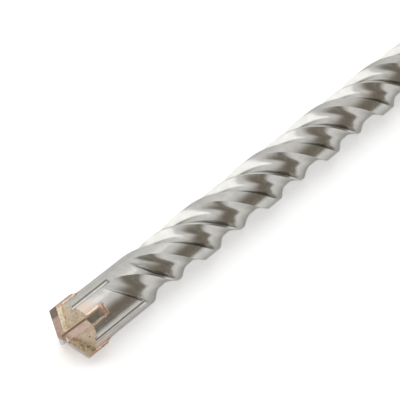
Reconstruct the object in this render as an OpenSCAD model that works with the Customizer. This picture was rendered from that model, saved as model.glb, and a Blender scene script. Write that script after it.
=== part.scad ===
// Masonry drill bit with a four-cutter carbide tip, four helical flutes and a slotted hammer shank.
// It lies along +X with its tip at the far negative end. The origin is the centre of the flat striking
// face of the shank, and +Z is up. Distances called s run along the axis from the tip.

/* [Overall] */
// Length from the tip to the striking face
total_l = 260; // [200:5:320]

/* [Carbide tip] */
// Diameter across the outer corners of the cutters
carbide_d = 16; // [15.4:0.1:18]
// Thickness of each arm of the cross
carbide_t = 2.4; // [1.6:0.1:3.2]
// Length of the cross along the axis
carbide_l = 10.2; // [8:0.1:12]
// Angle of the point over the main bar of the cross
point_angle = 135; // [126:1:140]
// Angle of the point over the side bar, which lies further back at its corners
side_point_angle = 123; // [118:1:134]
// Slope of each flank behind its cutting edge
flank_angle = 20; // [12:0.5:24]
// Turn of the side bar about the axis
arm_turn = 40.5; // [0:0.5:90]

/* [Head] */
// Diameter of the plain head that holds the tip
head_d = 14.72; // [14:0.01:15.2]
// Angle of the steel cone
cone_angle = 124; // [116:1:130]
// Distance from the tip to the apex of the steel cone
cone_setback = 1.4; // [0.8:0.1:2]
// Slope of the ground steel behind each arm
relief_angle = 25.5; // [24:0.5:30]
// Distance from the tip back to where the ground steel would meet the axis
relief_setback = 0.15; // [0.05:0.05:0.5]
// Width of the straight dust grooves
groove_w = 1.5; // [1:0.1:2]
// Depth of the straight dust grooves
groove_depth = 0.7; // [0.4:0.1:1]
// Turn of the first dust groove about the axis
groove_turn = -3; // [-10:0.5:10]
// Distance from the tip to the end of the short pair of grooves
short_groove_end = 19; // [17:0.5:21]
// Distance from the tip to the end of the long pair of grooves
long_groove_end = 27.5; // [25:0.5:30]

/* [Braze] */
// Thickness of the brazed joint round the carbide
braze_t = 0.12; // [0.08:0.01:0.2]
// Reach of the braze fillet over the steel beside each arm
fillet_w = 0.5; // [0.3:0.05:0.7]
// Height of the braze fillet on the arm
fillet_h = 0.35; // [0.2:0.05:0.45]
// Length of the pool of braze behind each arm
pool_l = 1.6; // [0.8:0.1:2.4]
// Start of the beads behind the front rim of the steel
bead_setback = 0.2; // [0.1:0.05:0.6]

/* [Flutes] */
// Length of one full turn of a flute
lead = 57.5; // [48:0.5:70]
// Diameter over the wide lands
land_d = 14.6; // [14.2:0.02:15]
// Diameter over the narrow lands
narrow_land_d = 13.86; // [13.2:0.02:14.1]
// Diameter of the core under the flutes
core_d = 10.3; // [9:0.1:11.5]
// Width of a wide land round the bit
wide_land_w = 4.5; // [3:0.1:6]
// Width of a narrow land round the bit
narrow_land_w = 0.7; // [0.5:0.1:1.5]
// Angle from a wide land to the narrow land after it
narrow_land_turn = 93; // [86:1:98]
// Turn of the first wide land, carried back to the tip
land_turn = -42.2; // [-90:0.1:90]
// Distance from the tip to the points of the first pair of flutes
first_start = 15.8; // [15:0.1:17]
// Distance from the first points to the points of the second pair
stagger = 11.7; // [9:0.1:14]
// Length over which a first flute reaches its full depth
first_run_in = 16; // [12:0.5:20]
// Length over which a second flute reaches its full depth
second_run_in = 10; // [6:0.5:14]
// Length over which every flute rises out again
run_out = 16; // [8:0.5:24]
// Angle by which the narrow land lags where it begins
ridge_lag = 13; // [0:1:16]
// Length over which the narrow land settles into its place
settle_l = 22; // [14:1:30]

/* [Shank] */
// Diameter of the shank
shank_d = 10; // [9:0.1:11]
// Length of the shank, from the shoulder to the striking face
shank_l = 60; // [56:1:70]
// Length of the plain collar behind the flutes
collar_l = 6; // [3:0.5:12]
// Diameter of the plain collar
collar_d = 14.72; // [14:0.02:15]
// Slope of the shoulder against the axis
shoulder_angle = 30; // [25:1:45]
// Radius of the hollow between shank and shoulder
shoulder_fillet = 3; // [1.5:0.5:4]
// Chamfer at the striking face
end_chamfer = 1; // [0.5:0.1:1.5]
// Width of the two open driving slots
drive_slot_w = 5; // [4:0.1:5.5]
// Distance from the striking face to the shallow ring that shows how far the shank goes in
ring_start = 39; // [36:0.5:42]
// Width of the ring
ring_w = 1; // [0.6:0.1:1.5]
// Depth of the ring
ring_depth = 0.2; // [0.16:0.02:0.4]
// Depth of the two open driving slots
drive_slot_depth = 1.65; // [1.2:0.05:2]
// Length of their flat floor from the striking face
drive_slot_l = 26; // [22:1:30]
// Radius of the cutter that shapes their ends
drive_slot_end_r = 12; // [8:1:16]
// Radius of the round bottom of the two closed locking grooves
lock_groove_r = 3.4; // [3:0.1:4]
// Depth of the closed locking grooves
lock_groove_depth = 1.35; // [1:0.05:1.6]
// Distance from the striking face to the near end of the locking grooves
lock_groove_start = 14.5; // [12:0.5:18]
// Length of the locking grooves
lock_groove_l = 20; // [16:0.5:22]
// Turn of the driving slots about the axis
slot_turn = 0; // [0:5:90]

/* [Hidden] */
$fn = 96;

// Overlap of a cutting form past the surface that it cuts
over = 1;
// Share of its own length that a bead's slope is carried on below the steel
slope_run_on = 0.5;
// Plain length between a flute's point and the turned piece next to it
flute_margin = 1.3;
// How a first flute falls from its narrow land, lies flat and rises to its wide land
first_floor = 0.4;
first_fall = 2;
first_rise = 4.4;
// The same across a second flute, from its wide land to its narrow land
second_floor = 0.46;
second_fall = 3.6;
second_rise = 3.2;
// Place of each point across its flute
first_point = 0.53;
second_point = 0.41;
// A second flute opens towards the narrow land in this length
second_wall_run = 4;
// Width share of a flute at its point, and where it isn't cut at all
point_seed = 0.04;
plain_seed = 0.5;
// Facets across each land and flute, and the number of rings along the flutes
wide_land_facets = 6;
narrow_land_facets = 3;
flute_facets = 7;
ring_count = 104;

arms = 4;
carbide_r = carbide_d / 2;
head_r = head_d / 2;
land_r = land_d / 2;
narrow_land_r = narrow_land_d / 2;
core_r = core_d / 2;
shank_r = shank_d / 2;
collar_r = collar_d / 2;
point_slope = tan(90 - point_angle / 2);
side_point_slope = tan(90 - side_point_angle / 2);
flank_slope = tan(flank_angle);
cone_slope = tan(90 - cone_angle / 2);
relief_slope = tan(relief_angle);
second_start = first_start + stagger;
shoulder_l = (collar_r - shank_r) / tan(shoulder_angle);
flute_end = total_l - shank_l - shoulder_l - collar_l;
fluted_from = first_start - flute_margin;
fluted_to = flute_end + flute_margin;
// Overlap of the turned pieces with the fluted length
lap = flute_margin / 2;
wide_half = wide_land_w / land_r * 90 / PI;
narrow_half = narrow_land_w / narrow_land_r * 90 / PI;
slot_w = carbide_t + 2 * braze_t;
slot_l = carbide_l + braze_t;
rim_s = cone_setback + head_r * cone_slope;
bead_s = rim_s + bead_setback;

function clamp01(x) = min(1, max(0, x));
function lean(x) = x < 0 ? 0 : x > 1 ? 1 : sqrt(x * (2 - x));

// Share of its full width that a flute has reached, from a point at one end and from the run-out
function opened(s, start, run) = lean((s - start) / run) * lean((flute_end - s) / run_out);

// Half width in shares of the full one, kept off zero so that no facet vanishes
function spread(s, start, run) =
    s < start || s > flute_end ? plain_seed : max(point_seed, opened(s, start, run));

// Share of the flute's depth that stays uncut, one at both edges and none on the floor
function uncut(x, floor_at, fall, rise) =
    x < floor_at ? pow(1 - x / floor_at, fall) : pow((x - floor_at) / (1 - floor_at), rise);

// Shares across a flute, closer together at its edges
function across(facets) = [for (k = [0 : facets - 1]) (1 - cos(180 * k / facets)) / 2];

// Radius and angle of each point across one flute, without its last edge
function flute_points(from, to, from_r, to_r, cut, floor_at, fall, rise) =
    [for (x = across(flute_facets))
        let(edge_r = from_r + (to_r - from_r) * x)
        [edge_r - cut * (edge_r - core_r) * (1 - uncut(x, floor_at, fall, rise)),
         from + (to - from) * x]];

function land_points(from, to, r, facets) =
    [for (k = [0 : facets - 1]) [r, from + (to - from) * k / facets]];

// Radius and angle of the points round half a section: wide land, second flute, narrow land, first flute
function half_section(s) =
    let(first_cut = pow(opened(s, first_start, first_run_in), 2),
        second_cut = pow(opened(s, second_start, second_run_in), 2),
        lag = ridge_lag * (1 - clamp01((s - second_start) / settle_l)),
        ridge_r = land_r - (land_r - narrow_land_r) * first_cut * second_cut,
        ridge_from = narrow_land_turn - narrow_half - lag,
        ridge_to = narrow_land_turn + narrow_half - lag,
        first_to = 180 - wide_half,
        second_at = wide_half + (narrow_land_turn - narrow_half - wide_half) * second_point,
        first_at = first_to - (first_to - narrow_land_turn - narrow_half) * (1 - first_point),
        second_lo = second_at - (second_at - wide_half) * spread(s, second_start, second_run_in),
        second_hi = second_at + (ridge_from - second_at) * spread(s, second_start, second_wall_run),
        first_lo = first_at - (first_at - ridge_to) * spread(s, first_start, first_run_in),
        first_hi = first_at + (first_to - first_at) * spread(s, first_start, first_run_in))
    concat(
        land_points(first_hi - 180, second_lo, land_r, wide_land_facets),
        flute_points(second_lo, second_hi, land_r, ridge_r, second_cut,
                     second_floor, second_fall, second_rise),
        land_points(second_hi, first_lo, ridge_r, narrow_land_facets),
        flute_points(first_lo, first_hi, ridge_r, land_r, first_cut,
                     first_floor, first_fall, first_rise));

function section_points(s) =
    let(turn = land_turn + 360 * s / lead)
    [for (half = [0, 180])
        for (p = half_section(s))
            [p[0] * cos(p[1] + turn + half), p[0] * sin(p[1] + turn + half), s]];

// Places of the rings, with one ring exactly at each flute's point
function steps(from, to) =
    let(count = max(1, round(ring_count * (to - from) / (fluted_to - fluted_from))))
    [for (k = [0 : count - 1]) from + (to - from) * k / count];

module place_along_x() {
    translate([-total_l, 0, 0])
        rotate([0, 90, 0])
            rotate([0, 0, 180])
                children();
}

// Everything in front of the plane that rises from the axis by slope_out and slope_round
module in_front_of(slope_out, slope_round, start) {
    reach = 2 * carbide_d;
    inner = -over;
    height = function (x, y) start + slope_out * x + slope_round * y;
    corners = [[inner, inner], [reach, inner], [reach, reach], [inner, reach]];
    polyhedron(
        points = concat([for (c = corners) [c[0], c[1], -reach]],
                        [for (c = corners) [c[0], c[1], height(c[0], c[1])]]),
        faces = [[0, 1, 2, 3], [7, 6, 5, 4], [0, 4, 5, 1], [1, 5, 6, 2], [2, 6, 7, 3], [3, 7, 4, 0]]);
}

// One bar of the cross: two ground flanks that meet in a short chisel edge
module carbide_bar(slope) {
    half_t = carbide_t / 2;
    reach = carbide_r + over;
    top = function (x, y) abs(slope * x + flank_slope * y);
    chisel_x = half_t * flank_slope / slope;
    rim = [[-reach, -half_t], [chisel_x, -half_t], [reach, -half_t],
           [reach, half_t], [-chisel_x, half_t], [-reach, half_t]];
    foot = [for (k = [0, 2, 3, 5]) [rim[k][0], rim[k][1], carbide_l]];
    polyhedron(
        points = concat([for (p = rim) [p[0], p[1], top(p[0], p[1])]], foot),
        faces = [[0, 1, 4, 5], [1, 2, 3, 4], [6, 7, 2, 1, 0], [7, 8, 3, 2],
                 [8, 9, 5, 4, 3], [9, 6, 0, 5], [9, 8, 7, 6]]);
}

module carbide_cross() {
    intersection() {
        union() {
            rotate([0, 0, arm_turn]) carbide_bar(side_point_slope);
            rotate([0, 0, arm_turn + 90]) carbide_bar(point_slope);
        }
        translate([0, 0, -over]) cylinder(h = carbide_l + 2 * over, r = carbide_r);
    }
}

// Space milled across the head for the cross and its brazed joint
module cross_slot() {
    for (turn = [0, 90])
        rotate([0, 0, arm_turn + turn])
            translate([-carbide_d, -slot_w / 2, -over])
                cube([2 * carbide_d, slot_w, slot_l + over]);
}

// The head before it is slotted: a cylinder with a cone and four ground flanks in front
module head_blank() {
    difference() {
        cylinder(h = fluted_from + lap, r = head_r);
        difference() {
            translate([0, 0, -over]) cylinder(h = head_r, r = carbide_d);
            translate([0, 0, cone_setback]) cylinder(h = carbide_d * cone_slope, r1 = 0, r2 = carbide_d);
        }
        for (k = [0 : arms - 1])
            rotate([0, 0, arm_turn + 360 * k / arms])
                in_front_of(cone_slope, relief_slope, relief_setback);
    }
}

module fluted_length() {
    places = concat(steps(fluted_from, first_start), steps(first_start, second_start),
                    steps(second_start, flute_end), [flute_end, fluted_to]);
    sections = [for (s = places) section_points(s)];
    count = len(sections[0]);
    last = len(places) - 1;
    polyhedron(
        points = [for (ring = sections) each ring],
        faces = concat(
            [[for (k = [0 : count - 1]) k]],
            [[for (k = [count - 1 : -1 : 0]) last * count + k]],
            [for (i = [0 : last - 1])
                for (k = [0 : count - 1])
                    let(next = (k + 1) % count,
                        here = i * count,
                        above = here + count)
                    each [[here + k, above + k, here + next], [here + next, above + k, above + next]]]));
}

module dust_grooves() {
    middle = head_r - groove_depth + groove_w / 2;
    for (k = [0 : arms - 1])
        rotate([0, 0, groove_turn + 360 * k / arms])
            translate([middle, 0, -over])
                cylinder(h = over + (k % 2 == 0 ? short_groove_end : long_groove_end),
                         d = groove_w, $fn = 32);
}

// Half outline of everything behind the flutes, distance from the axis against s
module shank_outline() {
    shoulder_at = total_l - shank_l - shoulder_l;
    foot = total_l - shank_l;
    hollow = shoulder_fillet * tan(shoulder_angle / 2);
    tangent_r = shank_r + hollow * sin(shoulder_angle);
    tangent_s = foot - hollow * cos(shoulder_angle);
    square_from = fluted_to - lap;
    translate([0, square_from]) square([collar_r, shoulder_at - square_from]);
    polygon([[0, shoulder_at], [collar_r, shoulder_at], [shank_r, foot], [0, foot]]);
    difference() {
        translate([0, foot - over]) square([shank_r, shank_l - end_chamfer + over]);
        translate([shank_r - ring_depth, total_l - ring_start - ring_w]) square([over, ring_w]);
    }
    polygon([[0, total_l - end_chamfer], [shank_r, total_l - end_chamfer],
             [shank_r - end_chamfer, total_l], [0, total_l]]);
    difference() {
        polygon([[shank_r - over / 2, foot], [shank_r, foot + hollow], [tangent_r, tangent_s]]);
        translate([shank_r + shoulder_fillet, foot + hollow]) circle(r = shoulder_fillet);
    }
}

module drive_slots() {
    floor_at = shank_r - drive_slot_depth;
    for (turn = [0, 180])
        rotate([0, 0, slot_turn + turn])
            translate([0, drive_slot_w / 2, total_l])
                rotate([90, 0, 0])
                    linear_extrude(height = drive_slot_w) {
                        translate([floor_at, -drive_slot_l])
                            square([drive_slot_end_r, drive_slot_l + over]);
                        translate([floor_at + drive_slot_end_r, -drive_slot_l])
                            circle(r = drive_slot_end_r);
                    }
}

module locking_grooves() {
    middle = shank_r - lock_groove_depth + lock_groove_r;
    // The round bottom meets the surface of the shank this far before its centre
    end_reach = sqrt(pow(lock_groove_r, 2) - pow(middle - shank_r, 2));
    near = total_l - lock_groove_start - end_reach;
    far = total_l - lock_groove_start - lock_groove_l + end_reach;
    for (turn = [90, 270])
        rotate([0, 0, slot_turn + turn]) {
            translate([middle, 0, far]) cylinder(h = near - far, r = lock_groove_r);
            translate([middle, 0, far]) sphere(r = lock_groove_r);
            translate([middle, 0, near]) sphere(r = lock_groove_r);
        }
}

module drill_body() {
    color([0.76, 0.75, 0.73])
        place_along_x()
            difference() {
                union() {
                    head_blank();
                    fluted_length();
                    rotate_extrude() shank_outline();
                }
                cross_slot();
                dust_grooves();
                drive_slots();
                locking_grooves();
            }
}

module carbide_tip() {
    color([0.55, 0.49, 0.42])
        place_along_x()
            carbide_cross();
}

// Bead of braze along the edges of each window, and a pool that thins out behind the arm
module braze_beads() {
    bead_r = head_r + fillet_h;
    // The slope of the bead runs from the arm down to the steel, and is carried on below it
    half_w = slot_w / 2 + fillet_w;
    foot = [sqrt(head_r * head_r - half_w * half_w), half_w];
    below = foot + slope_run_on * (foot - [bead_r, carbide_t / 2]);
    intersection() {
        for (k = [0 : arms - 1])
            rotate([0, 0, arm_turn + 360 * k / arms])
                linear_extrude(height = slot_l + pool_l + over)
                    polygon([[core_r, -below[1]], [below[0], -below[1]], [bead_r, -carbide_t / 2],
                             [bead_r + over, -carbide_t / 2], [bead_r + over, carbide_t / 2],
                             [bead_r, carbide_t / 2], below, [core_r, below[1]]]);
        rotate_extrude()
            polygon([[core_r, bead_s], [head_r, bead_s], [bead_r, bead_s + fillet_h],
                     [bead_r, slot_l], [head_r, slot_l + pool_l], [core_r, slot_l + pool_l]]);
    }
}

module braze() {
    color([0.80, 0.56, 0.44])
        place_along_x()
            difference() {
                union() {
                    intersection() {
                        cross_slot();
                        head_blank();
                    }
                    braze_beads();
                }
                difference() {
                    head_blank();
                    cross_slot();
                }
                carbide_cross();
            }
}

drill_body();
carbide_tip();
braze();
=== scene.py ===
# Looks of a four-cutter masonry drill bit: satin steel body, ground carbide cross and copper-coloured braze.
# Lengths are written in millimetres and turned to metres where a mesh is made. Distances called s run along
# the axis from the tip.

import math
import bpy
import numpy as np
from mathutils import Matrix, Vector, noise


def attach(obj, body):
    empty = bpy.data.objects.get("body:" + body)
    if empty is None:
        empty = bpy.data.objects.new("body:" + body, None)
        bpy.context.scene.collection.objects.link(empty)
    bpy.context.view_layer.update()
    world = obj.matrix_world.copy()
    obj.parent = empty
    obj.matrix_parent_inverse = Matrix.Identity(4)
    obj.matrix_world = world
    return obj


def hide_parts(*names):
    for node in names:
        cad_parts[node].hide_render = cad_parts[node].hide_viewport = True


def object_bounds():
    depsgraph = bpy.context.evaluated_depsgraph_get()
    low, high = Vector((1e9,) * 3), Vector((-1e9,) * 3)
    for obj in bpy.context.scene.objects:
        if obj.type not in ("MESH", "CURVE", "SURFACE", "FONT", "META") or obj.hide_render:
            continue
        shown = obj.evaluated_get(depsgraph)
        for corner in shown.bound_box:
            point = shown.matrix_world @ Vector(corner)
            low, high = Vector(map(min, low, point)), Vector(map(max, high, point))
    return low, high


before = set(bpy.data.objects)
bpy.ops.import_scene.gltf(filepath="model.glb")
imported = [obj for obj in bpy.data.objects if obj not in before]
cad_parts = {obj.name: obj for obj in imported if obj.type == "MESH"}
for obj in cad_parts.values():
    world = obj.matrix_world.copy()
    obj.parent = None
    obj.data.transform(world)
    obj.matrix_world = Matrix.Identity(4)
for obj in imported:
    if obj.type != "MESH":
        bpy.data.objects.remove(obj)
cad_low, cad_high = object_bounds()

MM = 0.001
# Points closer than this many metres are one, on a cut block and on a CAD node's loose triangles
SAME_POINT = 1e-7
CAD_SAME_POINT = 1e-6

# Whole bit
TOTAL_L = 260.0
CARBIDE_D = 16.0
CARBIDE_T = 2.4
CARBIDE_L = 10.2
POINT_SLOPE = math.tan(math.radians(90 - 135 / 2))
SIDE_POINT_SLOPE = math.tan(math.radians(90 - 123 / 2))
FLANK_SLOPE = math.tan(math.radians(20))
ARM_TURN = 40.5
ARMS = 4

# Head
HEAD_R = 7.36
CONE_SLOPE = math.tan(math.radians(90 - 124 / 2))
CONE_SETBACK = 1.4
RELIEF_SLOPE = math.tan(math.radians(25.5))
RELIEF_SETBACK = 0.15
GROOVE_W = 1.5
GROOVE_DEPTH = 0.7
GROOVE_TURN = -3.0
SHORT_GROOVE_END = 19.0
LONG_GROOVE_END = 27.5
BRAZE_T = 0.12

# Bead of braze round each window: its size beside and behind the arm, its height share and its path
BEAD_SIDE_R, BEAD_END_R, BEAD_RISE = 0.27, 0.62, 0.55
BEAD_OUT, BEAD_BEND, BEAD_SUNK = 0.22, 0.5, 1.2
BEAD_STEPS, BEAD_SIDES = 220, 14

# Front rim of the steel
RIM_S = CONE_SETBACK + HEAD_R * CONE_SLOPE

# Flutes
LEAD = 57.5
LAND_R = 7.3
NARROW_LAND_R = 6.93
CORE_R = 5.15
NARROW_LAND_TURN = 93.0
LAND_TURN = -42.2
WIDE_HALF = math.degrees(4.5 / 2 / LAND_R)
NARROW_HALF = math.degrees(0.7 / 2 / NARROW_LAND_R)
FIRST_START = 15.8
SECOND_START = FIRST_START + 11.7
FIRST_RUN_IN = 16.0
SECOND_RUN_IN = 10.0
SECOND_WALL_RUN = 4.0
RUN_OUT = 16.0
RIDGE_LAG = 13.0
SETTLE_L = 22.0
FLUTE_MARGIN = 1.3
LAP = FLUTE_MARGIN / 2
FIRST_FLOOR, FIRST_FALL, FIRST_RISE = 0.4, 2.0, 4.4
SECOND_FLOOR, SECOND_FALL, SECOND_RISE = 0.46, 3.6, 3.2
FIRST_POINT = 0.53
SECOND_POINT = 0.41
POINT_SEED = 0.04
PLAIN_SEED = 0.5

# Shank
SHANK_R = 5.0
SHANK_L = 60.0
COLLAR_R = 7.36
RING_START = 39.0
RING_W = 1.0
RING_DEPTH = 0.2
COLLAR_L = 6.0
SHOULDER_ANGLE = math.radians(30)
SHOULDER_FILLET = 3.0
END_CHAMFER = 1.0
SHOULDER_L = (COLLAR_R - SHANK_R) / math.tan(SHOULDER_ANGLE)
FLUTE_END = TOTAL_L - SHANK_L - SHOULDER_L - COLLAR_L
DRIVE_SLOT_W = 5.0
DRIVE_SLOT_DEPTH = 1.65
DRIVE_SLOT_L = 26.0
DRIVE_SLOT_END_R = 12.0
LOCK_R = 3.4
LOCK_DEPTH = 1.35
LOCK_START = 14.5
LOCK_L = 20.0

# Length over which the head narrows to the lands, and how finely the steel is meshed
STEP_EASE = 4.0
APEX_R = 0.05
CONE_RINGS = (1.5, 3, 4.5, 6)
HEAD_STEP = 0.9
RING_STEP = 0.45
SHANK_STEP = 2.0
SHOULDER_STEPS = 7
# Tiny steps along the axis where a radius changes at once
JUMP, RING_WALL = 0.1, 0.02
WIDE_LAND_STEPS = 16
NARROW_LAND_STEPS = 8
FLUTE_STEPS = 30

# Studio: brightness of the room and the floor, and of each light on top of the white backdrop. White is 1.
ROOM_LIGHT = 0.52
FLOOR_GLOW = 0.39
OVERHEAD_GLOW = 0.75
SIDE_GLOW = 0.4
HEAD_X = 80.0 - TOTAL_L
# The dark card's radius in metres, and its reach in degrees above the floor and round the head
CARD_R = 0.7
CARD_LOW, CARD_DARK_TO, CARD_HIGH = 0, 24, 50
CARD_FROM, CARD_TO, CARD_SOFT = -122, 14, 26
CARD_COLOUR = (0.262, 0.228, 0.185)
# Painted reflection: a dark sheet just above the floor that only mirrored rays see, darkening the floor's
# image in the steel. Where it begins and is full, in metres from the axis, and how far it reaches
REFLECTED_DARK_FROM, REFLECTED_DARK_FULL, REFLECTED_DARK_REACH = 0.022, 0.05, 0.7

# Camera: where it looks, in degrees, how far it stands from the tip across, up and back, and its lens
CAMERA_TURN, CAMERA_DOWN = 37.735, 37.27
CAMERA_RIGHT, CAMERA_UP, CAMERA_AWAY = 35.13, 35.76, 520.27
SENSOR_W, LENS_L = 36, 183.3


def place(radius, turn, s):
    """Row-frame point in metres of a radius, an angle from +Z towards -Y and a distance from the tip."""
    a = math.radians(turn)
    return Vector(((s - TOTAL_L) * MM, -radius * math.sin(a) * MM, radius * math.cos(a) * MM))


def heading(x, y, s):
    """Row-frame direction of a direction in x, y, s."""
    return Vector((s, -y, x)).normalized()


def deselect():
    """Leaves edit mode and selects nothing."""
    if bpy.context.object and bpy.context.object.mode != "OBJECT":
        bpy.ops.object.mode_set(mode="OBJECT")
    bpy.ops.object.select_all(action="DESELECT")


def pick(obj):
    """Selects this object alone."""
    deselect()
    obj.select_set(True)
    bpy.context.view_layer.objects.active = obj


def closed_and_outward(obj, merge=SAME_POINT):
    """Merges the points that lie on each other and turns the faces outwards."""
    pick(obj)
    bpy.ops.object.mode_set(mode="EDIT")
    bpy.ops.mesh.select_all(action="SELECT")
    bpy.ops.mesh.remove_doubles(threshold=merge)
    bpy.ops.mesh.normals_make_consistent(inside=False)
    bpy.ops.object.mode_set(mode="OBJECT")


def without_slivers(obj):
    """Takes out edges and faces of less than a micron, where the cuts met the gathered points."""
    pick(obj)
    bpy.ops.object.mode_set(mode="EDIT")
    bpy.ops.mesh.select_all(action="SELECT")
    bpy.ops.mesh.dissolve_degenerate(threshold=0.001 * MM)
    bpy.ops.mesh.select_all(action="SELECT")
    bpy.ops.mesh.delete_loose(use_verts=True, use_edges=True, use_faces=True)
    bpy.ops.object.mode_set(mode="OBJECT")


def combine(obj, tool, operation, solver="MANIFOLD"):
    """Adds, cuts or keeps the tool's volume, and removes the tool."""
    pick(obj)
    mod = obj.modifiers.new("combine", "BOOLEAN")
    mod.operation = operation
    mod.solver = solver
    mod.object = tool
    bpy.ops.object.modifier_apply(modifier=mod.name)
    bpy.data.objects.remove(tool)


def set_points(obj, points):
    obj.data.vertices.foreach_set("co", np.asarray(points, np.float32).ravel())
    obj.data.update()


def get_points(obj):
    points = np.empty(len(obj.data.vertices) * 3)
    obj.data.vertices.foreach_get("co", points)
    return points.reshape(-1, 3)


def tool_to_row(points):
    """Turns x, y, s in millimetres, with s along the axis from the tip, into row-frame metres."""
    points = np.asarray(points, float)
    return np.stack([points[:, 2] - TOTAL_L, -points[:, 1], points[:, 0]], 1) * MM


def lean(x):
    """A quarter round from 0 to 1."""
    x = min(1.0, max(0.0, x))
    return math.sqrt(x * (2 - x))


def opened(s, start, run):
    """How far a flute is open at s, from its run-in at the front to its run-out at the rear."""
    return lean((s - start) / run) * lean((FLUTE_END - s) / RUN_OUT)


def spread(s, start, run):
    """Share of its room that a flute's points take, least where the flute begins and ends."""
    outside = max(start - s, s - FLUTE_END, 0)
    if outside:
        return POINT_SEED + (PLAIN_SEED - POINT_SEED) * float(smooth(outside / STEP_EASE))
    return max(POINT_SEED, opened(s, start, run))


def uncut(x, floor_at, fall, rise):
    """Share of the steel left across a flute: it falls to the floor, and then rises to the next land."""
    return np.where(x < floor_at, np.clip(1 - x / floor_at, 0, 1) ** fall,
                    np.clip((x - floor_at) / (1 - floor_at), 0, 1) ** rise)


def flute_points(low, high, low_r, high_r, cut, floor_at, fall, rise):
    """Radii and angles across a flute, closest together at its two edges."""
    x = (1 - np.cos(np.pi * np.arange(FLUTE_STEPS) / FLUTE_STEPS)) / 2
    edge = low_r + (high_r - low_r) * x
    return edge - cut * (edge - CORE_R) * (1 - uncut(x, floor_at, fall, rise)), low + (high - low) * x


def land_points(low, high, radius, steps):
    return np.full(steps, radius), low + (high - low) * np.arange(steps) / steps


def half_section(s):
    """Radii and angles round half a section: wide land, second flute, narrow land, first flute."""
    first_cut = opened(s, FIRST_START, FIRST_RUN_IN) ** 2
    second_cut = opened(s, SECOND_START, SECOND_RUN_IN) ** 2
    lag = RIDGE_LAG * (1 - min(1, max(0, (s - SECOND_START) / SETTLE_L)))
    ridge_r = LAND_R - (LAND_R - NARROW_LAND_R) * first_cut * second_cut
    ridge_low = NARROW_LAND_TURN - NARROW_HALF - lag
    ridge_high = NARROW_LAND_TURN + NARROW_HALF - lag
    first_high = 180 - WIDE_HALF
    second_at = WIDE_HALF + (NARROW_LAND_TURN - NARROW_HALF - WIDE_HALF) * SECOND_POINT
    first_at = first_high - (first_high - NARROW_LAND_TURN - NARROW_HALF) * (1 - FIRST_POINT)
    a2 = second_at - (second_at - WIDE_HALF) * spread(s, SECOND_START, SECOND_RUN_IN)
    b2 = second_at + (ridge_low - second_at) * spread(s, SECOND_START, SECOND_WALL_RUN)
    a1 = first_at - (first_at - ridge_high) * spread(s, FIRST_START, FIRST_RUN_IN)
    b1 = first_at + (first_high - first_at) * spread(s, FIRST_START, FIRST_RUN_IN)
    parts = [land_points(b1 - 180, a2, LAND_R, WIDE_LAND_STEPS),
             flute_points(a2, b2, LAND_R, ridge_r, second_cut, SECOND_FLOOR, SECOND_FALL, SECOND_RISE),
             land_points(b2, a1, ridge_r, NARROW_LAND_STEPS),
             flute_points(a1, b1, ridge_r, LAND_R, first_cut, FIRST_FLOOR, FIRST_FALL, FIRST_RISE)]
    return np.concatenate([p[0] for p in parts]), np.concatenate([p[1] for p in parts])


def section(s, radius=None):
    """Points round the whole section at s, on a plain circle where a radius is given."""
    radii, angles = half_section(s)
    if radius is not None:
        radii = np.full_like(radii, radius)
    # In front of the flutes and behind them the skin isn't twisted
    turn = LAND_TURN + 360 * min(FLUTE_END + LAP, max(FIRST_START - LAP, s)) / LEAD
    a = np.radians(np.concatenate([angles + turn, angles + turn + 180]))
    r = np.concatenate([radii, radii])
    return np.stack([r * np.cos(a), r * np.sin(a), np.full(len(a), s)], 1)


def even(low, high, step):
    """Evenly spaced distances, both ends included."""
    return list(np.linspace(low, high, max(2, int(round((high - low) / step)) + 1)))


def shoulder_stations():
    """Distances and radii from the collar down the shoulder and its hollow to the shank and its chamfer."""
    foot = TOTAL_L - SHANK_L
    hollow = SHOULDER_FILLET * math.tan(SHOULDER_ANGLE / 2)
    turns = np.linspace(SHOULDER_ANGLE, 0, SHOULDER_STEPS)
    centre_s, centre_r = foot + hollow, SHANK_R + SHOULDER_FILLET
    arc = [(centre_s - SHOULDER_FILLET * math.sin(a), centre_r - SHOULDER_FILLET * math.cos(a))
           for a in turns]
    ring_far, ring_near = TOTAL_L - RING_START - RING_W, TOTAL_L - RING_START
    front = [(s, SHANK_R) for s in even(centre_s + 1, ring_far, SHANK_STEP)]
    ring = [(s, SHANK_R - RING_DEPTH) for s in (ring_far + RING_WALL, ring_near - RING_WALL)]
    rear = [(s, SHANK_R) for s in even(ring_near, TOTAL_L - END_CHAMFER, SHANK_STEP)]
    return ([(foot - SHOULDER_L, COLLAR_R)] + arc + front + ring + rear
            + [(TOTAL_L, SHANK_R - END_CHAMFER)])


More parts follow.
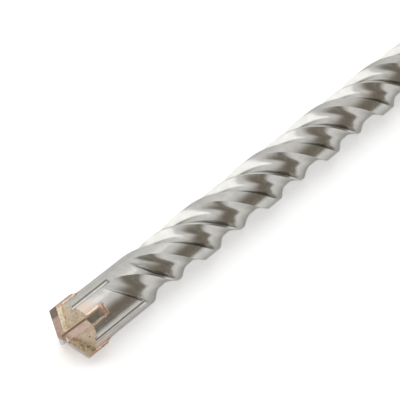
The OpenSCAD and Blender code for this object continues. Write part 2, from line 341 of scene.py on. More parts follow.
def turned_and_fluted_bar():
    """The steel before milling: cone, plain head, fluted length, collar, shoulder and shank, in one skin."""
    cone = [section(CONE_SETBACK + r * CONE_SLOPE, r) for r in (APEX_R, *CONE_RINGS, HEAD_R)]
    head = [section(s, HEAD_R) for s in even(RIM_S + HEAD_STEP, FIRST_START - STEP_EASE, HEAD_STEP)]
    easing = [section(s, HEAD_R - (HEAD_R - LAND_R) * float(smooth(1 - (FIRST_START - s) / STEP_EASE)))
              for s in even(FIRST_START - STEP_EASE, FIRST_START, RING_STEP)[1:-1]]
    flutes = [section(s) for s in
              even(FIRST_START, SECOND_START, RING_STEP)
              + even(SECOND_START, FLUTE_END, RING_STEP)[1:]
              + [FLUTE_END + LAP]]
    collar = [section(s, COLLAR_R) for s in even(FLUTE_END + LAP + JUMP, FLUTE_END + STEP_EASE, RING_STEP)]
    shank = [section(s, r) for s, r in shoulder_stations()]
    rings = cone + head + easing + flutes + collar + shank
    around = len(rings[0])
    bpy.ops.mesh.primitive_grid_add(x_subdivisions=around, y_subdivisions=len(rings) - 1, size=1)
    bar = bpy.context.object
    # The grid's columns run round the bar and its rows along it, so its first and last columns meet
    points = np.empty((len(rings), around + 1, 3))
    for i, ring in enumerate(rings):
        points[i, :around] = ring
        points[i, around] = ring[0]
    set_points(bar, tool_to_row(points.reshape(-1, 3)))
    pick(bar)
    bpy.ops.object.mode_set(mode="EDIT")
    bpy.ops.mesh.select_all(action="SELECT")
    bpy.ops.mesh.remove_doubles(threshold=2 * SAME_POINT)
    bpy.ops.mesh.select_all(action="DESELECT")
    bpy.ops.mesh.select_mode(type="EDGE")
    bpy.ops.mesh.select_non_manifold()
    bpy.ops.mesh.edge_face_add()
    bpy.ops.mesh.select_all(action="SELECT")
    bpy.ops.mesh.normals_make_consistent(inside=False)
    bpy.ops.object.mode_set(mode="OBJECT")
    return bar


def cutter_box(low, high, turn=0.0):
    """A block from corner to corner in x, y, s, turned about the axis."""
    bpy.ops.mesh.primitive_cube_add(size=1)
    block = bpy.context.object
    low, high = np.array(low, float), np.array(high, float)
    points = low + (get_points(block) + 0.5) * (high - low)
    set_points(block, tool_to_row(turned(points, turn)))
    closed_and_outward(block)
    return block


def turned(points, turn):
    """Points in x, y, s, turned about the axis by degrees."""
    a = math.radians(turn)
    c, s = math.cos(a), math.sin(a)
    x, y, along = np.asarray(points, float).T
    return np.stack([x * c - y * s, x * s + y * c, along], 1)


def relief_cutter(turn):
    """All that lies in front of the steel's ground slope behind one arm."""
    reach = 2 * CARBIDE_D
    bpy.ops.mesh.primitive_cube_add(size=1)
    block = bpy.context.object
    points = get_points(block) + 0.5
    x = points[:, 0] * reach
    y = points[:, 1] * reach
    top = RELIEF_SETBACK + CONE_SLOPE * x + RELIEF_SLOPE * y
    s = np.where(points[:, 2] > 0.5, top, -reach)
    set_points(block, tool_to_row(turned(np.stack([x, y, s], 1), turn)))
    closed_and_outward(block)
    return block


def rod_cutter(x, y, low, high, radius, turn=0.0, sides=32):
    """A rod along the axis at x, y."""
    bpy.ops.mesh.primitive_cylinder_add(vertices=sides, radius=radius, depth=1, end_fill_type="NGON")
    rod = bpy.context.object
    points = get_points(rod)
    points[:, 0] += x
    points[:, 1] += y
    points[:, 2] = low + (points[:, 2] + 0.5) * (high - low)
    set_points(rod, tool_to_row(turned(points, turn)))
    closed_and_outward(rod)
    return rod


def lock_groove_cutter(turn):
    """A ball cutter's sweep: a sphere whose halves are drawn apart along the axis."""
    middle = SHANK_R - LOCK_DEPTH + LOCK_R
    reach = math.sqrt(LOCK_R ** 2 - (middle - SHANK_R) ** 2)
    far, near = TOTAL_L - LOCK_START - LOCK_L + reach, TOTAL_L - LOCK_START - reach
    bpy.ops.mesh.primitive_uv_sphere_add(segments=64, ring_count=33, radius=LOCK_R)
    ball = bpy.context.object
    points = get_points(ball)
    points[:, 0] += middle
    points[:, 2] += np.where(points[:, 2] > 0, near, far)
    set_points(ball, tool_to_row(turned(points, turn)))
    closed_and_outward(ball)
    return ball


def drive_slot_cutter(turn):
    """A flat-bottomed slot that the wheel of the cutter leaves in an arc."""
    floor_at = SHANK_R - DRIVE_SLOT_DEPTH
    bend = np.radians(np.linspace(180, 270, 25))
    wheel = np.stack([floor_at + DRIVE_SLOT_END_R * (1 + np.cos(bend)),
                      TOTAL_L - DRIVE_SLOT_L + DRIVE_SLOT_END_R * np.sin(bend)], 1)
    outline = np.vstack([wheel, [[floor_at + DRIVE_SLOT_END_R, TOTAL_L + 1], [floor_at, TOTAL_L + 1]]])
    bpy.ops.mesh.primitive_cylinder_add(vertices=len(outline), radius=1, depth=1, end_fill_type="NGON")
    slot = bpy.context.object
    ends = get_points(slot)
    # The primitive's corners come in pairs, one on each end
    corner = np.repeat(outline, 2, axis=0)
    points = np.stack([corner[:, 0], ends[:, 2] * DRIVE_SLOT_W, corner[:, 1]], 1)
    set_points(slot, tool_to_row(turned(points, turn)))
    closed_and_outward(slot)
    return slot


def steel_body():
    """The turned and fluted bar, ground and milled at its head and its shank."""
    bar = turned_and_fluted_bar()
    slot_half = CARBIDE_T / 2 + BRAZE_T
    slot_end = CARBIDE_L + BRAZE_T
    middle = HEAD_R - GROOVE_DEPTH + GROOVE_W / 2
    cutters = [relief_cutter(ARM_TURN + 90 * k) for k in range(ARMS)]
    cutters += [cutter_box((-CARBIDE_D, -slot_half, -1), (CARBIDE_D, slot_half, slot_end), ARM_TURN + turn)
                for turn in (0, 90)]
    cutters += [rod_cutter(middle, 0, -1, SHORT_GROOVE_END if k % 2 == 0 else LONG_GROOVE_END,
                           GROOVE_W / 2, GROOVE_TURN + 90 * k) for k in range(ARMS)]
    cutters += [drive_slot_cutter(turn) for turn in (0, 180)]
    cutters += [lock_groove_cutter(turn) for turn in (90, 270)]
    for cutter in cutters:
        combine(bar, cutter, "DIFFERENCE")
    without_slivers(bar)
    bar.name = "steel_body"
    pick(bar)
    bpy.ops.object.shade_smooth_by_angle(angle=math.radians(12))
    return bar


def carbide_bar(turn, slope):
    """One bar of the cross, cut in front by two flanks that meet in a chisel edge."""
    half = CARBIDE_T / 2
    reach = CARBIDE_D / 2 + 1
    bar = cutter_box((-reach, -half, -6), (reach, half, CARBIDE_L))
    for along, across in [(slope, FLANK_SLOPE), (-slope, -FLANK_SLOPE)]:
        # The plane s = along * x + across * y, with its normal towards the tip
        pick(bar)
        bpy.ops.object.mode_set(mode="EDIT")
        bpy.ops.mesh.select_all(action="SELECT")
        bpy.ops.mesh.bisect(plane_co=place(0, 0, 0), plane_no=heading(along, across, -1),
                            use_fill=True, clear_outer=True, threshold=SAME_POINT)
        bpy.ops.object.mode_set(mode="OBJECT")
    points = get_points(bar)
    a = math.radians(turn)
    y, z = points[:, 1].copy(), points[:, 2].copy()
    # Turning from +Z towards -Y
    points[:, 2] = z * math.cos(a) + y * math.sin(a)
    points[:, 1] = y * math.cos(a) - z * math.sin(a)
    set_points(bar, points)
    closed_and_outward(bar)
    return bar


def carbide_cross():
    """Two bars united, ground round, with their edges a little worn."""
    cross = carbide_bar(ARM_TURN, SIDE_POINT_SLOPE)
    combine(cross, carbide_bar(ARM_TURN + 90, POINT_SLOPE), "UNION", "EXACT")
    round_stock = rod_cutter(0, 0, -2, CARBIDE_L + 2, CARBIDE_D / 2, 0, 256)
    combine(cross, round_stock, "INTERSECT", "EXACT")
    cross.name = "carbide_cross"
    pick(cross)
    worn = cross.modifiers.new("worn edges", "BEVEL")
    worn.width = 0.06 * MM
    worn.segments = 2
    worn.limit_method = "ANGLE"
    worn.angle_limit = math.radians(25)
    bpy.ops.object.modifier_apply(modifier=worn.name)
    bpy.ops.object.shade_smooth_by_angle(angle=math.radians(20))
    return cross


def cad_copy(node):
    """A merged copy of a CAD node with a mesh of its own."""
    deselect()
    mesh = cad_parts[node].data.copy()
    copy = bpy.data.objects.new(node + "_copy", mesh)
    bpy.context.scene.collection.objects.link(copy)
    closed_and_outward(copy, CAD_SAME_POINT)
    return copy


def bead_path(t, end_r):
    """Width, distance from the tip and radius along a loop that follows a window's sides and back end."""
    half = CARBIDE_T / 2 + BEAD_OUT
    front, back = RIM_S + 0.3, CARBIDE_L + end_r * 0.8
    side = back - front - end_r
    bend = end_r * math.pi / 2
    across = 2 * (half - end_r)
    total = 2 * side + 2 * bend + across + 2 * half
    d = t * total
    if d < side:
        return -half, front + d, HEAD_R
    d -= side
    if d < bend:
        a = d / end_r
        return -half + end_r * (1 - math.cos(a)), back - end_r + end_r * math.sin(a), HEAD_R
    d -= bend
    if d < across:
        return -half + end_r + d, back, HEAD_R
    d -= across
    if d < bend:
        a = d / end_r
        return half - end_r + end_r * math.sin(a), back - end_r + end_r * math.cos(a), HEAD_R
    d -= bend
    if d < side:
        return half, back - end_r - d, HEAD_R
    # The loop closes across the front, inside the arm
    share = (d - side) / (2 * half)
    return half - 2 * half * share, front, HEAD_R - BEAD_SUNK * math.sin(math.pi * share)


def frozen_bead(turn, seed):
    """The bead round one window: a swollen, uneven loop, thickest behind the arm."""
    bpy.ops.mesh.primitive_torus_add(major_segments=BEAD_STEPS, minor_segments=BEAD_SIDES)
    bead = bpy.context.object
    loop = np.array([bead_path(i / BEAD_STEPS, BEAD_BEND) for i in range(BEAD_STEPS)])
    forward = np.roll(loop, -1, 0) - np.roll(loop, 1, 0)
    forward /= np.linalg.norm(forward, axis=1)[:, None]
    outward = np.tile((0.0, 0.0, 1.0), (BEAD_STEPS, 1))
    sideways = np.cross(forward, outward)
    sideways /= np.linalg.norm(sideways, axis=1)[:, None]
    outward = np.cross(sideways, forward)
    points = np.empty((BEAD_STEPS, BEAD_SIDES, 3))
    for i in range(BEAD_STEPS):
        w, s = loop[i, :2]
        swell = smooth((s - CARBIDE_L + 1.6) / 2.2)
        width = BEAD_SIDE_R + (BEAD_END_R - BEAD_SIDE_R) * float(swell)
        for k in range(BEAD_SIDES):
            a = 2 * math.pi * k / BEAD_SIDES
            lump = noise.noise(Vector((w * 1.3 + seed, s * 0.9 + math.cos(a) * 0.5, math.sin(a) * 0.5)))
            size = width * (1 + 0.55 * lump)
            points[i, k] = loop[i] + size * (math.cos(a) * sideways[i] + BEAD_RISE * math.sin(a) * outward[i])
    flat = points.reshape(-1, 3)
    # The width runs round the head, so the bead lies on its surface
    angle = flat[:, 0] / HEAD_R
    set_points(bead, tool_to_row(turned(np.stack(
        [flat[:, 2] * np.cos(angle), flat[:, 2] * np.sin(angle), flat[:, 1]], 1), turn)))
    closed_and_outward(bead)
    return bead


def braze_bead():
    """The braze as it froze: the thin joints of the CAD node with a rounded, lumpy bead round each window."""
    joint = cad_copy("braze")
    beads = [frozen_bead(ARM_TURN + 90 * k, 7.3 * k) for k in range(ARMS)]
    pick(joint)
    for bead in beads:
        bead.select_set(True)
    bpy.ops.object.join()
    joint.name = "braze_bead"
    pick(joint)
    bpy.ops.object.shade_smooth_by_angle(angle=math.radians(40))
    return joint


def material(name):
    mat = bpy.data.materials.new(name)
    mat.use_nodes = True
    nodes = mat.node_tree.nodes
    return mat, nodes, mat.node_tree.links, nodes["Principled BSDF"]


def math_node(nodes, links, operation, first, second=None, clamp=False):
    node = nodes.new("ShaderNodeMath")
    node.operation = operation
    node.use_clamp = clamp
    for socket, value in zip(node.inputs, (first, second)):
        if value is None:
            continue
        if isinstance(value, (int, float)):
            socket.default_value = value
        else:
            links.new(value, socket)
    return node.outputs[0]


def ramp(nodes, links, factor, stops, interpolation="LINEAR"):
    node = nodes.new("ShaderNodeValToRGB")
    node.color_ramp.interpolation = interpolation
    elements = node.color_ramp.elements
    while len(elements) < len(stops):
        elements.new(0.5)
    for element, (place_at, colour) in zip(elements, stops):
        element.position = place_at
        element.color = (*colour, 1)
    links.new(factor, node.inputs["Fac"])
    return node.outputs["Color"]


def grain(nodes, links, where, size, detail=3.0, stretch=(1, 1, 1)):
    """Noise with features of about this size in millimetres."""
    mapping = nodes.new("ShaderNodeMapping")
    mapping.inputs["Scale"].default_value = stretch
    links.new(where, mapping.inputs["Vector"])
    texture = nodes.new("ShaderNodeTexNoise")
    texture.inputs["Scale"].default_value = 1 / (size * MM)
    texture.inputs["Detail"].default_value = detail
    links.new(mapping.outputs[0], texture.inputs["Vector"])
    return texture.outputs["Fac"]


def blend(nodes, links, factor, first, second, kind="MIX"):
    node = nodes.new("ShaderNodeMix")
    node.data_type = "RGBA"
    node.blend_type = kind
    for socket, value in ((node.inputs[0], factor), (node.inputs[6], first), (node.inputs[7], second)):
        if isinstance(value, (int, float)):
            socket.default_value = value
        elif isinstance(value, tuple):
            socket.default_value = (*value, 1)
        else:
            links.new(value, socket)
    return node.outputs[2]


def bump(nodes, links, height, depth, shader):
    """A bump of this depth in millimetres."""
    node = nodes.new("ShaderNodeBump")
    node.inputs["Distance"].default_value = depth * MM
    links.new(height, node.inputs["Height"])
    links.new(node.outputs[0], shader.inputs["Normal"])


def places(nodes, links):
    """Object coordinates, with the distance from the tip, the radius and the turn, all as numbers."""
    where = nodes.new("ShaderNodeTexCoord").outputs["Object"]
    parts = nodes.new("ShaderNodeSeparateXYZ")
    links.new(where, parts.inputs[0])
    x, y, z = parts.outputs
    s = math_node(nodes, links, "MULTIPLY_ADD", x, 1 / MM)
    s.node.inputs[2].default_value = TOTAL_L
    outward = nodes.new("ShaderNodeVectorMath")
    outward.operation = "MULTIPLY"
    outward.inputs[1].default_value = (0, 1, 1)
    links.new(where, outward.inputs[0])
    size = nodes.new("ShaderNodeVectorMath")
    size.operation = "LENGTH"
    links.new(outward.outputs[0], size.inputs[0])
    radius = math_node(nodes, links, "MULTIPLY", size.outputs["Value"], 1 / MM)
    back = math_node(nodes, links, "MULTIPLY", y, -1.0)
    angle = math_node(nodes, links, "ARCTAN2", back, z)
    turn = math_node(nodes, links, "MULTIPLY_ADD", angle, 1 / (2 * math.pi))
    turn.node.inputs[2].default_value = 0.5
    return where, s, radius, turn


def satin_steel():
    """Blasted and polished tool steel, warm grey, with a fine mottled grain."""
    mat, nodes, links, shader = material("satin_steel")
    where, s, _, turn = places(nodes, links)
    shader.inputs["Metallic"].default_value = 1.0
    shader.inputs["Specular Tint"].default_value = (0.6, 0.59, 0.57, 1)
    mottle = grain(nodes, links, where, 2.2, 4)
    fine = grain(nodes, links, where, 0.28, 2, (0.5, 1, 1))
    colour = ramp(nodes, links, mottle, [(0.3, (0.495, 0.485, 0.458)), (0.7, (0.55, 0.542, 0.515))])
    # A pale pink film of braze beside the windows, ragged where it ends
    ragged = math_node(nodes, links, "MULTIPLY_ADD", mottle, 3.0)
    links.new(s, ragged.node.inputs[2])
    near_tip = ramp(nodes, links, math_node(nodes, links, "MULTIPLY", ragged, 0.05),
                    [(0.46, (1, 1, 1)), (0.64, (0, 0, 0))])
    quarter = math_node(nodes, links, "FRACT", math_node(nodes, links, "MULTIPLY", turn, 4.0))
    arm_at = turn_share(ARM_TURN) * 4 % 1
    beside = ramp(nodes, links, quarter,
                  [(arm_at - 0.43, (0, 0, 0)), (arm_at - 0.41, (1, 1, 1)), (arm_at + 0.16, (1, 1, 1)),
                   (arm_at + 0.26, (0, 0, 0))])
    film = blend(nodes, links, 1.0, near_tip, beside, "MULTIPLY")
    colour = blend(nodes, links, film, colour, (0.61, 0.505, 0.43))
    links.new(colour, shader.inputs["Base Color"])
    rough = math_node(nodes, links, "MULTIPLY_ADD", fine, 0.10)
    rough.node.inputs[2].default_value = 0.16
    rough = math_node(nodes, links, "ADD", rough, math_node(nodes, links, "MULTIPLY", film, 0.2))
    links.new(rough, shader.inputs["Roughness"])
    bump(nodes, links, fine, 0.012, shader)
    return mat


def turn_share(turn):
    """A turn from +Z towards -Y in degrees as its place on a ramp round the axis."""
    return (turn / 360 + 0.5) % 1


def stained_front():
    """The ground steel between the arms, sandy with flux and heat, pinkish where copper ran over it."""
    mat, nodes, links, shader = material("stained_front")
    where, _, _, turn = places(nodes, links)
    cream, khaki, pink, olive = (0.80, 0.69, 0.52), (0.56, 0.46, 0.32), (0.72, 0.54, 0.43), (0.52, 0.41, 0.24)
    warm = (0.70, 0.54, 0.42)
    first, second, third, fourth = (turn_share(ARM_TURN + 90 * k) for k in (2, 3, 0, 1))
    stops = [(0.0, khaki), (first, pink), (first + 0.03, cream), (first + 0.13, khaki),
             (second - 0.02, olive), (second, cream), (second + 0.06, cream), (second + 0.12, khaki),
             (third - 0.01, khaki), (third, pink), (third + 0.13, warm), (third + 0.2, olive),
             (fourth, olive), (fourth + 0.02, pink), (1.0, khaki)]
    colour = ramp(nodes, links, turn, stops)
    sand = grain(nodes, links, where, 0.5, 4)
    patches = grain(nodes, links, where, 1.6, 2)
    colour = blend(nodes, links, ramp(nodes, links, patches, [(0.45, (0, 0, 0)), (0.62, (1, 1, 1))]),
                   colour, (0.70, 0.57, 0.42))
    colour = blend(nodes, links, 0.55, colour,
                   ramp(nodes, links, sand, [(0.3, (0.45, 0.42, 0.38)), (0.62, (1, 1, 1))]), "MULTIPLY")
    pores = nodes.new("ShaderNodeTexVoronoi")
    pores.inputs["Scale"].default_value = 620
    links.new(where, pores.inputs["Vector"])
    hole = ramp(nodes, links, pores.outputs["Distance"], [(0.1, (0, 0, 0)), (0.17, (1, 1, 1))])
    colour = blend(nodes, links, hole, (0.12, 0.085, 0.05), colour)
    links.new(colour, shader.inputs["Base Color"])
    shader.inputs["Metallic"].default_value = 0.35
    shader.inputs["Roughness"].default_value = 0.48
    height = blend(nodes, links, 0.5, sand, hole)
    bump(nodes, links, height, 0.09, shader)
    return mat


def far_side(nodes, links, turn):
    """One over the two arms after the side bar's first one, which came out pale grey."""
    angle = math_node(nodes, links, "MULTIPLY_ADD", turn, 2 * math.pi)
    angle.node.inputs[2].default_value = -math.pi - math.radians(ARM_TURN + 135)
    return math_node(nodes, links, "GREATER_THAN", math_node(nodes, links, "COSINE", angle), 0.0)


def ground_carbide():
    """Flanks ground by a diamond wheel: brown-grey with fine marks across, darker towards the corners."""
    mat, nodes, links, shader = material("ground_carbide")
    where, _, radius, turn = places(nodes, links)
    marks = grain(nodes, links, where, 0.35, 3, (1, 1, 0.12))
    cloud = grain(nodes, links, where, 1.5, 3)
    edge = math_node(nodes, links, "MULTIPLY_ADD", cloud, 1.2)
    links.new(radius, edge.node.inputs[2])
    share = math_node(nodes, links, "MULTIPLY", edge, 0.1)
    colour = ramp(nodes, links, share, [(0.0, (0.30, 0.22, 0.17)), (0.2, (0.46, 0.32, 0.25)),
                                        (0.60, (0.48, 0.34, 0.27)), (0.65, (0.20, 0.15, 0.12))])
    colour = blend(nodes, links, far_side(nodes, links, turn), colour, (0.50, 0.49, 0.46))
    shade = ramp(nodes, links, marks, [(0.35, (0.6, 0.6, 0.6)), (0.65, (1.15, 1.15, 1.15))])
    colour = blend(nodes, links, 0.5, colour, shade, "MULTIPLY")
    links.new(colour, shader.inputs["Base Color"])
    shader.inputs["Metallic"].default_value = 0.5
    shader.inputs["Roughness"].default_value = 0.4
    bump(nodes, links, marks, 0.02, shader)
    return mat


def light_carbide():
    """The flanks of the side bar, which kept a pale pinkish film of braze."""
    mat, nodes, links, shader = material("light_carbide")
    where, _, radius, turn = places(nodes, links)
    marks = grain(nodes, links, where, 0.3, 3, (1, 0.15, 1))
    cloud = grain(nodes, links, where, 1.3, 3)
    share = math_node(nodes, links, "MULTIPLY", radius, 0.1)
    colour = ramp(nodes, links, share, [(0.1, (0.34, 0.23, 0.17)), (0.26, (0.68, 0.51, 0.42)),
                                        (0.8, (0.74, 0.56, 0.46))])
    colour = blend(nodes, links, ramp(nodes, links, cloud, [(0.5, (0, 0, 0)), (0.7, (0.6, 0.6, 0.6))]),
                   colour, (0.52, 0.36, 0.28))
    # The rake edge is a dark brown strip: here the offset from the middle of the arm is negative
    angle = math_node(nodes, links, "MULTIPLY_ADD", turn, 2 * math.pi)
    angle.node.inputs[2].default_value = -math.pi - math.radians(ARM_TURN)
    side = math_node(nodes, links, "SIGN", math_node(nodes, links, "COSINE", angle))
    offset = math_node(nodes, links, "MULTIPLY", math_node(nodes, links, "SINE", angle), radius)
    offset = math_node(nodes, links, "MULTIPLY", offset, side)
    ragged = math_node(nodes, links, "MULTIPLY_ADD", cloud, 0.3)
    links.new(offset, ragged.node.inputs[2])
    strip = math_node(nodes, links, "LESS_THAN", ragged, -0.42)
    colour = blend(nodes, links, strip, colour, (0.22, 0.155, 0.095))
    colour = blend(nodes, links, far_side(nodes, links, turn), colour, (0.52, 0.51, 0.48))
    links.new(colour, shader.inputs["Base Color"])
    shader.inputs["Metallic"].default_value = 0.35
    shader.inputs["Roughness"].default_value = 0.42
    bump(nodes, links, marks, 0.02, shader)
    return mat


def bare_carbide():
    """The round outer faces: greenish grey carbide as sintered, with a few bright grains."""
    mat, nodes, links, shader = material("bare_carbide")
    where, s, _, turn = places(nodes, links)
    cloud = grain(nodes, links, where, 1.1, 4)
    fine = grain(nodes, links, where, 0.2, 2)
    colour = ramp(nodes, links, cloud, [(0.35, (0.14, 0.135, 0.095)), (0.55, (0.20, 0.185, 0.14)),
                                        (0.7, (0.30, 0.215, 0.155))])
    # Braze crept over one side of each window and over its back end: here the width runs round from the arm
    quarter = math_node(nodes, links, "MULTIPLY_ADD", turn, 4.0)
    quarter.node.inputs[2].default_value = 2.5 - turn_share(ARM_TURN) * 4
    quarter = math_node(nodes, links, "FRACT", quarter)
    width = math_node(nodes, links, "MULTIPLY_ADD", quarter, CARBIDE_D * math.pi / 4)
    width.node.inputs[2].default_value = -CARBIDE_D * math.pi / 8
    ragged_side = math_node(nodes, links, "MULTIPLY_ADD", cloud, 0.6)
    links.new(width, ragged_side.node.inputs[2])
    ragged_end = math_node(nodes, links, "MULTIPLY_ADD", cloud, 1.2)
    links.new(s, ragged_end.node.inputs[2])
    crept = math_node(nodes, links, "MAXIMUM", math_node(nodes, links, "LESS_THAN", ragged_side, -0.55),
                      math_node(nodes, links, "GREATER_THAN", ragged_end, 9.95))
    colour = blend(nodes, links, crept, colour, (0.40, 0.25, 0.17))
    links.new(colour, shader.inputs["Base Color"])
    shader.inputs["Metallic"].default_value = 0.4
    shader.inputs["Roughness"].default_value = 0.5
    bump(nodes, links, fine, 0.02, shader)
    return mat


def braze_film():
    """Sides of the arms in front of the steel, wetted by braze: cream and copper, with pores."""
    mat, nodes, links, shader = material("braze_film")
    where, _, radius, turn = places(nodes, links)
    cloud = grain(nodes, links, where, 0.9, 4)
    cream = ramp(nodes, links, cloud, [(0.3, (0.52, 0.34, 0.23)), (0.42, (0.72, 0.58, 0.42)),
                                       (0.6, (0.86, 0.76, 0.58))])
    khaki = ramp(nodes, links, cloud, [(0.32, (0.36, 0.25, 0.15)), (0.5, (0.54, 0.41, 0.26)),
                                       (0.66, (0.66, 0.52, 0.36))])
    colour = blend(nodes, links, far_side(nodes, links, turn), cream, khaki)
    corner = ramp(nodes, links, math_node(nodes, links, "MULTIPLY", radius, 0.1),
                  [(0.715, (0, 0, 0)), (0.745, (0.7, 0.7, 0.7))])
    colour = blend(nodes, links, corner, colour, (0.66, 0.42, 0.31))
    pores = nodes.new("ShaderNodeTexVoronoi")
    pores.inputs["Scale"].default_value = 800
    links.new(where, pores.inputs["Vector"])
    hole = ramp(nodes, links, pores.outputs["Distance"], [(0.14, (0, 0, 0)), (0.24, (1, 1, 1))])
    colour = blend(nodes, links, hole, (0.11, 0.075, 0.05), colour)
    links.new(colour, shader.inputs["Base Color"])
    shader.inputs["Metallic"].default_value = 0.4
    shader.inputs["Roughness"].default_value = 0.42
    bump(nodes, links, blend(nodes, links, 0.5, cloud, hole), 0.08, shader)
    return mat


def copper_braze():
    """Copper-coloured braze as it froze: bright on the swells, brown in the hollows."""
    mat, nodes, links, shader = material("copper_braze")
    where, s, _, _ = places(nodes, links)
    cloud = grain(nodes, links, where, 0.8, 4)
    fine = grain(nodes, links, where, 0.22, 2)
    copper = ramp(nodes, links, cloud, [(0.3, (0.34, 0.17, 0.105)), (0.5, (0.57, 0.34, 0.235)),
                                        (0.7, (0.78, 0.58, 0.46))])
    pale = ramp(nodes, links, cloud, [(0.3, (0.50, 0.34, 0.24)), (0.5, (0.75, 0.61, 0.49)),
                                      (0.7, (0.87, 0.74, 0.62))])
    to_back = math_node(nodes, links, "MULTIPLY_ADD", cloud, 4.0)
    links.new(s, to_back.node.inputs[2])
    behind = ramp(nodes, links, math_node(nodes, links, "MULTIPLY", to_back, 0.05),
                  [(0.57, (0, 0, 0)), (0.68, (1, 1, 1))])
    colour = blend(nodes, links, behind, pale, copper)
    links.new(colour, shader.inputs["Base Color"])
    shader.inputs["Metallic"].default_value = 0.7
    shader.inputs["Roughness"].default_value = 0.34
    bump(nodes, links, fine, 0.03, shader)
    return mat


def paint_faces(obj, chosen, mat):
    """Gives the chosen faces a material of their own."""
    obj.data.materials.append(mat)
    index = np.empty(len(obj.data.polygons), np.int32)
    obj.data.polygons.foreach_get("material_index", index)
    index[chosen] = len(obj.data.materials) - 1
    obj.data.polygons.foreach_set("material_index", index)
    obj.data.update()


def face_places(obj):
    """Normal, distance from the tip, radius and turn of each face."""
    count = len(obj.data.polygons)
    normals, centres = np.empty(count * 3), np.empty(count * 3)
    obj.data.polygons.foreach_get("normal", normals)
    obj.data.polygons.foreach_get("center", centres)
    normals, centres = normals.reshape(-1, 3), centres.reshape(-1, 3) / MM
    radius = np.hypot(centres[:, 1], centres[:, 2])
    turn = np.degrees(np.arctan2(-centres[:, 1], centres[:, 2]))
    return normals, centres[:, 0] + TOTAL_L, radius, turn


def paint_head(steel):
    """Stains the ground faces in front of the steel's rim."""
    normals, s, _, _ = face_places(steel)
    paint_faces(steel, (normals[:, 0] < -0.5) & (s < RIM_S + 1), stained_front())


def paint_cross(cross):
    """Gives the cross its side bar's flanks, its round outer faces and its wetted sides."""
    normals, s, radius, turn = face_places(cross)
    front = normals[:, 0] < -0.5
    outer = (radius > CARBIDE_D / 2 - 0.3) & (abs(normals[:, 0]) < 0.3) & (s > 2)
    # Along the side bar the turn is ARM_TURN or half a round more
    on_side_bar = abs(np.cos(np.radians(turn - ARM_TURN))) > math.sqrt(0.5)
    paint_faces(cross, ~front & ~outer, braze_film())
    paint_faces(cross, outer, bare_carbide())
    paint_faces(cross, front & on_side_bar, light_carbide())


def seen_directly(nodes, links):
    """One for rays from the camera and for mirrored and refracted ones, which all see the white studio."""
    path = nodes.new("ShaderNodeLightPath")
    total = path.outputs["Is Camera Ray"]
    for kind in ("Is Glossy Ray", "Is Transmission Ray"):
        add = nodes.new("ShaderNodeMath")
        add.operation = "ADD"
        add.use_clamp = True
        links.new(total, add.inputs[0])
        links.new(path.outputs[kind], add.inputs[1])
        total = add.outputs[0]
    return total


def white_floor():
    bpy.ops.mesh.primitive_plane_add(size=8, location=(TOTAL_L * -0.5 * MM, 0, cad_low[2]))
    plane = bpy.context.object
    plane.name = "floor"
    mat, nodes, links, shader = material("pale_floor")
    shader.inputs["Base Color"].default_value = (0.9, 0.9, 0.9, 1)
    shader.inputs["Roughness"].default_value = 0.8
    glow = nodes.new("ShaderNodeEmission")
    glow.inputs["Strength"].default_value = FLOOR_GLOW
    add = nodes.new("ShaderNodeAddShader")
    mix = nodes.new("ShaderNodeMixShader")
    links.new(shader.outputs[0], add.inputs[0])
    links.new(glow.outputs[0], add.inputs[1])
    links.new(seen_directly(nodes, links), mix.inputs[0])
    links.new(shader.outputs[0], mix.inputs[1])
    links.new(add.outputs[0], mix.inputs[2])
    links.new(mix.outputs[0], nodes["Material Output"].inputs["Surface"])
    plane.data.materials.append(mat)


def smooth(x):
    x = np.clip(x, 0, 1)
    return x * x * (3 - 2 * x)


def keep_points(obj, keep):
    """Deletes the other points and their faces."""
    pick(obj)
    bpy.ops.object.mode_set(mode="EDIT")
    bpy.ops.mesh.select_mode(type="VERT")
    bpy.ops.mesh.select_all(action="DESELECT")
    bpy.ops.object.mode_set(mode="OBJECT")
    obj.data.vertices.foreach_set("select", ~keep)
    bpy.ops.object.mode_set(mode="EDIT")
    bpy.ops.mesh.delete(type="VERT")
    bpy.ops.object.mode_set(mode="OBJECT")


def mirrored_only(obj, fade):
    """Gives a card its shade, from dark to white by fade, and shows it to mirrored rays alone."""
    shade = np.array(CARD_COLOUR)[None, :] * (1 - fade[:, None]) + fade[:, None]
    colours = np.concatenate([shade, np.ones((len(shade), 1))], 1).astype(np.float32)
    layer = obj.data.color_attributes.new("shade", "FLOAT_COLOR", "POINT")
    layer.data.foreach_set("color", colours.ravel())
    mat = bpy.data.materials.new(obj.name)
    mat.use_nodes = True
    nodes, links = mat.node_tree.nodes, mat.node_tree.links
    nodes.remove(nodes["Principled BSDF"])
    shade_node = nodes.new("ShaderNodeAttribute")
    shade_node.attribute_name = "shade"
    glow = nodes.new("ShaderNodeEmission")
    links.new(shade_node.outputs["Color"], glow.inputs["Color"])
    links.new(glow.outputs[0], nodes["Material Output"].inputs["Surface"])
    obj.data.materials.append(mat)
    obj.visible_camera = False
    obj.visible_diffuse = False
    obj.visible_shadow = False


def card_angles(points):
    """Level above the floor and turn from +X towards +Y, in degrees, of points on the card."""
    level = np.degrees(np.arcsin(np.clip(points[:, 2] / CARD_R, -1, 1)))
    return level, np.degrees(np.arctan2(points[:, 1], points[:, 0]))


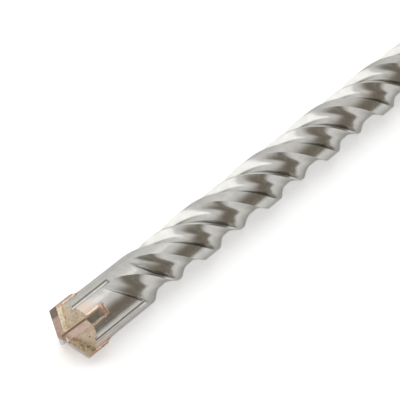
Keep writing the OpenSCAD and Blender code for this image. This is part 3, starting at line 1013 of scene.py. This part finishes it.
def dark_card():
    """A curved card on the camera's side, which the steel mirrors as its dark bands."""
    bpy.ops.mesh.primitive_uv_sphere_add(segments=72, ring_count=36, radius=CARD_R)
    card = bpy.context.object
    card.name = "dark_card"
    level, turn = card_angles(get_points(card))
    keep_points(card, (level > CARD_LOW - 4) & (level < CARD_HIGH + 1)
                & (turn > CARD_FROM - 1) & (turn < CARD_TO + 1))
    points = get_points(card)
    level, turn = card_angles(points)
    fade = smooth((level - CARD_DARK_TO) / (CARD_HIGH - CARD_DARK_TO))
    fade = np.maximum(fade, smooth((CARD_FROM + CARD_SOFT - turn) / CARD_SOFT))
    fade = np.maximum(fade, smooth((turn - CARD_TO + CARD_SOFT) / CARD_SOFT))
    set_points(card, points + np.array([HEAD_X * MM, 0, 0]))
    mirrored_only(card, fade)


def painted_reflection_sheet():
    """A dark sheet just above the floor on the camera's side, seen by mirrored rays alone: a painted
    reflection that darkens the floor's image in the steel.
    """
    bpy.ops.mesh.primitive_grid_add(x_subdivisions=2, y_subdivisions=40, size=1)
    mirror_only_plane = bpy.context.object
    mirror_only_plane.name = "painted_reflection_sheet"
    points = get_points(mirror_only_plane)
    away = REFLECTED_DARK_FROM + (0.5 - points[:, 1]) ** 3 * (REFLECTED_DARK_REACH - REFLECTED_DARK_FROM)
    along = points[:, 0] * 2 * REFLECTED_DARK_REACH + HEAD_X * MM
    set_points(mirror_only_plane, np.stack([along, -away, np.full(len(away), cad_low[2] + 0.0002)], 1))
    # Painted reflection: white where the sheet begins near the axis, fully dark from where it is full
    # outwards, and seen by mirrored rays alone
    mirrored_only(mirror_only_plane, 1 - smooth((away - REFLECTED_DARK_FROM) / (REFLECTED_DARK_FULL - REFLECTED_DARK_FROM)))


def area_light(name, at, toward, size_x, size_y, power):
    light = bpy.data.lights.new(name, "AREA")
    light.shape = "RECTANGLE"
    light.size, light.size_y = size_x, size_y
    light.energy = power
    obj = bpy.data.objects.new(name, light)
    obj.location = at
    obj.rotation_euler = (Vector(toward) - Vector(at)).to_track_quat("-Z", "Y").to_euler()
    bpy.context.scene.collection.objects.link(obj)


def camera():
    """The photograph's view: level, from the tip's side and above, about half a metre away."""
    ahead = math.radians(CAMERA_TURN)
    down = math.radians(CAMERA_DOWN)
    flat = Vector((math.cos(ahead), math.sin(ahead), 0))
    right = Vector((math.sin(ahead), -math.cos(ahead), 0))
    back = -math.cos(down) * flat + math.sin(down) * Vector((0, 0, 1))
    up = math.sin(down) * flat + math.cos(down) * Vector((0, 0, 1))
    tip = Vector((-TOTAL_L, 0, 0))
    at = (tip + CAMERA_RIGHT * right + CAMERA_UP * up + CAMERA_AWAY * back) * MM
    data = bpy.data.cameras.new("camera")
    data.sensor_width = SENSOR_W
    data.lens = LENS_L
    data.clip_start = 0.01
    data.clip_end = 50
    obj = bpy.data.objects.new("camera", data)
    obj.location = at
    obj.rotation_euler = (-back).to_track_quat("-Z", "Y").to_euler()
    bpy.context.scene.collection.objects.link(obj)
    bpy.context.scene.camera = obj


def softbox(name, turn, level, away, size_x, size_y, brightness):
    """A soft light that faces the head of the bit; brightness is that of its face, with white paper as 1."""
    a, e = math.radians(turn), math.radians(level)
    aim = Vector((HEAD_X * MM, 0, 0))
    at = aim + away * Vector((math.cos(e) * math.cos(a), math.cos(e) * math.sin(a), math.sin(e)))
    area_light(name, at, aim, size_x, size_y, brightness * math.pi * size_x * size_y)


def studio():
    scene = bpy.context.scene
    scene.view_settings.view_transform = "Standard"
    world = bpy.data.worlds.new("studio")
    scene.world = world
    world.use_nodes = True
    nodes, links = world.node_tree.nodes, world.node_tree.links
    room = nodes["Background"]
    room.inputs["Color"].default_value = (1, 1, 1, 1)
    room.inputs["Strength"].default_value = ROOM_LIGHT
    backdrop = nodes.new("ShaderNodeBackground")
    backdrop.inputs["Color"].default_value = (1, 1, 1, 1)
    backdrop.inputs["Strength"].default_value = 1.0
    mix = nodes.new("ShaderNodeMixShader")
    links.new(seen_directly(nodes, links), mix.inputs[0])
    links.new(room.outputs[0], mix.inputs[1])
    links.new(backdrop.outputs[0], mix.inputs[2])
    links.new(mix.outputs[0], nodes["World Output"].inputs["Surface"])
    softbox("overhead", turn=115, level=75, away=1.0, size_x=1.45, size_y=1.45, brightness=OVERHEAD_GLOW)
    softbox("side", turn=108, level=24, away=1.1, size_x=1.3, size_y=0.55, brightness=SIDE_GLOW)
    white_floor()
    dark_card()
    # Painted reflection: a dark sheet above the floor that only mirrored rays see
    painted_reflection_sheet()
    camera()


def dress(piece, node, mat):
    piece.data.materials.clear()
    piece.data.materials.append(mat)
    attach(piece, "root")
    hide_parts(node)


studio()
steel = steel_body()
dress(steel, "drill_body", satin_steel())
paint_head(steel)
cross = carbide_cross()
dress(cross, "carbide_tip", ground_carbide())
paint_cross(cross)
dress(braze_bead(), "braze", copper_braze())
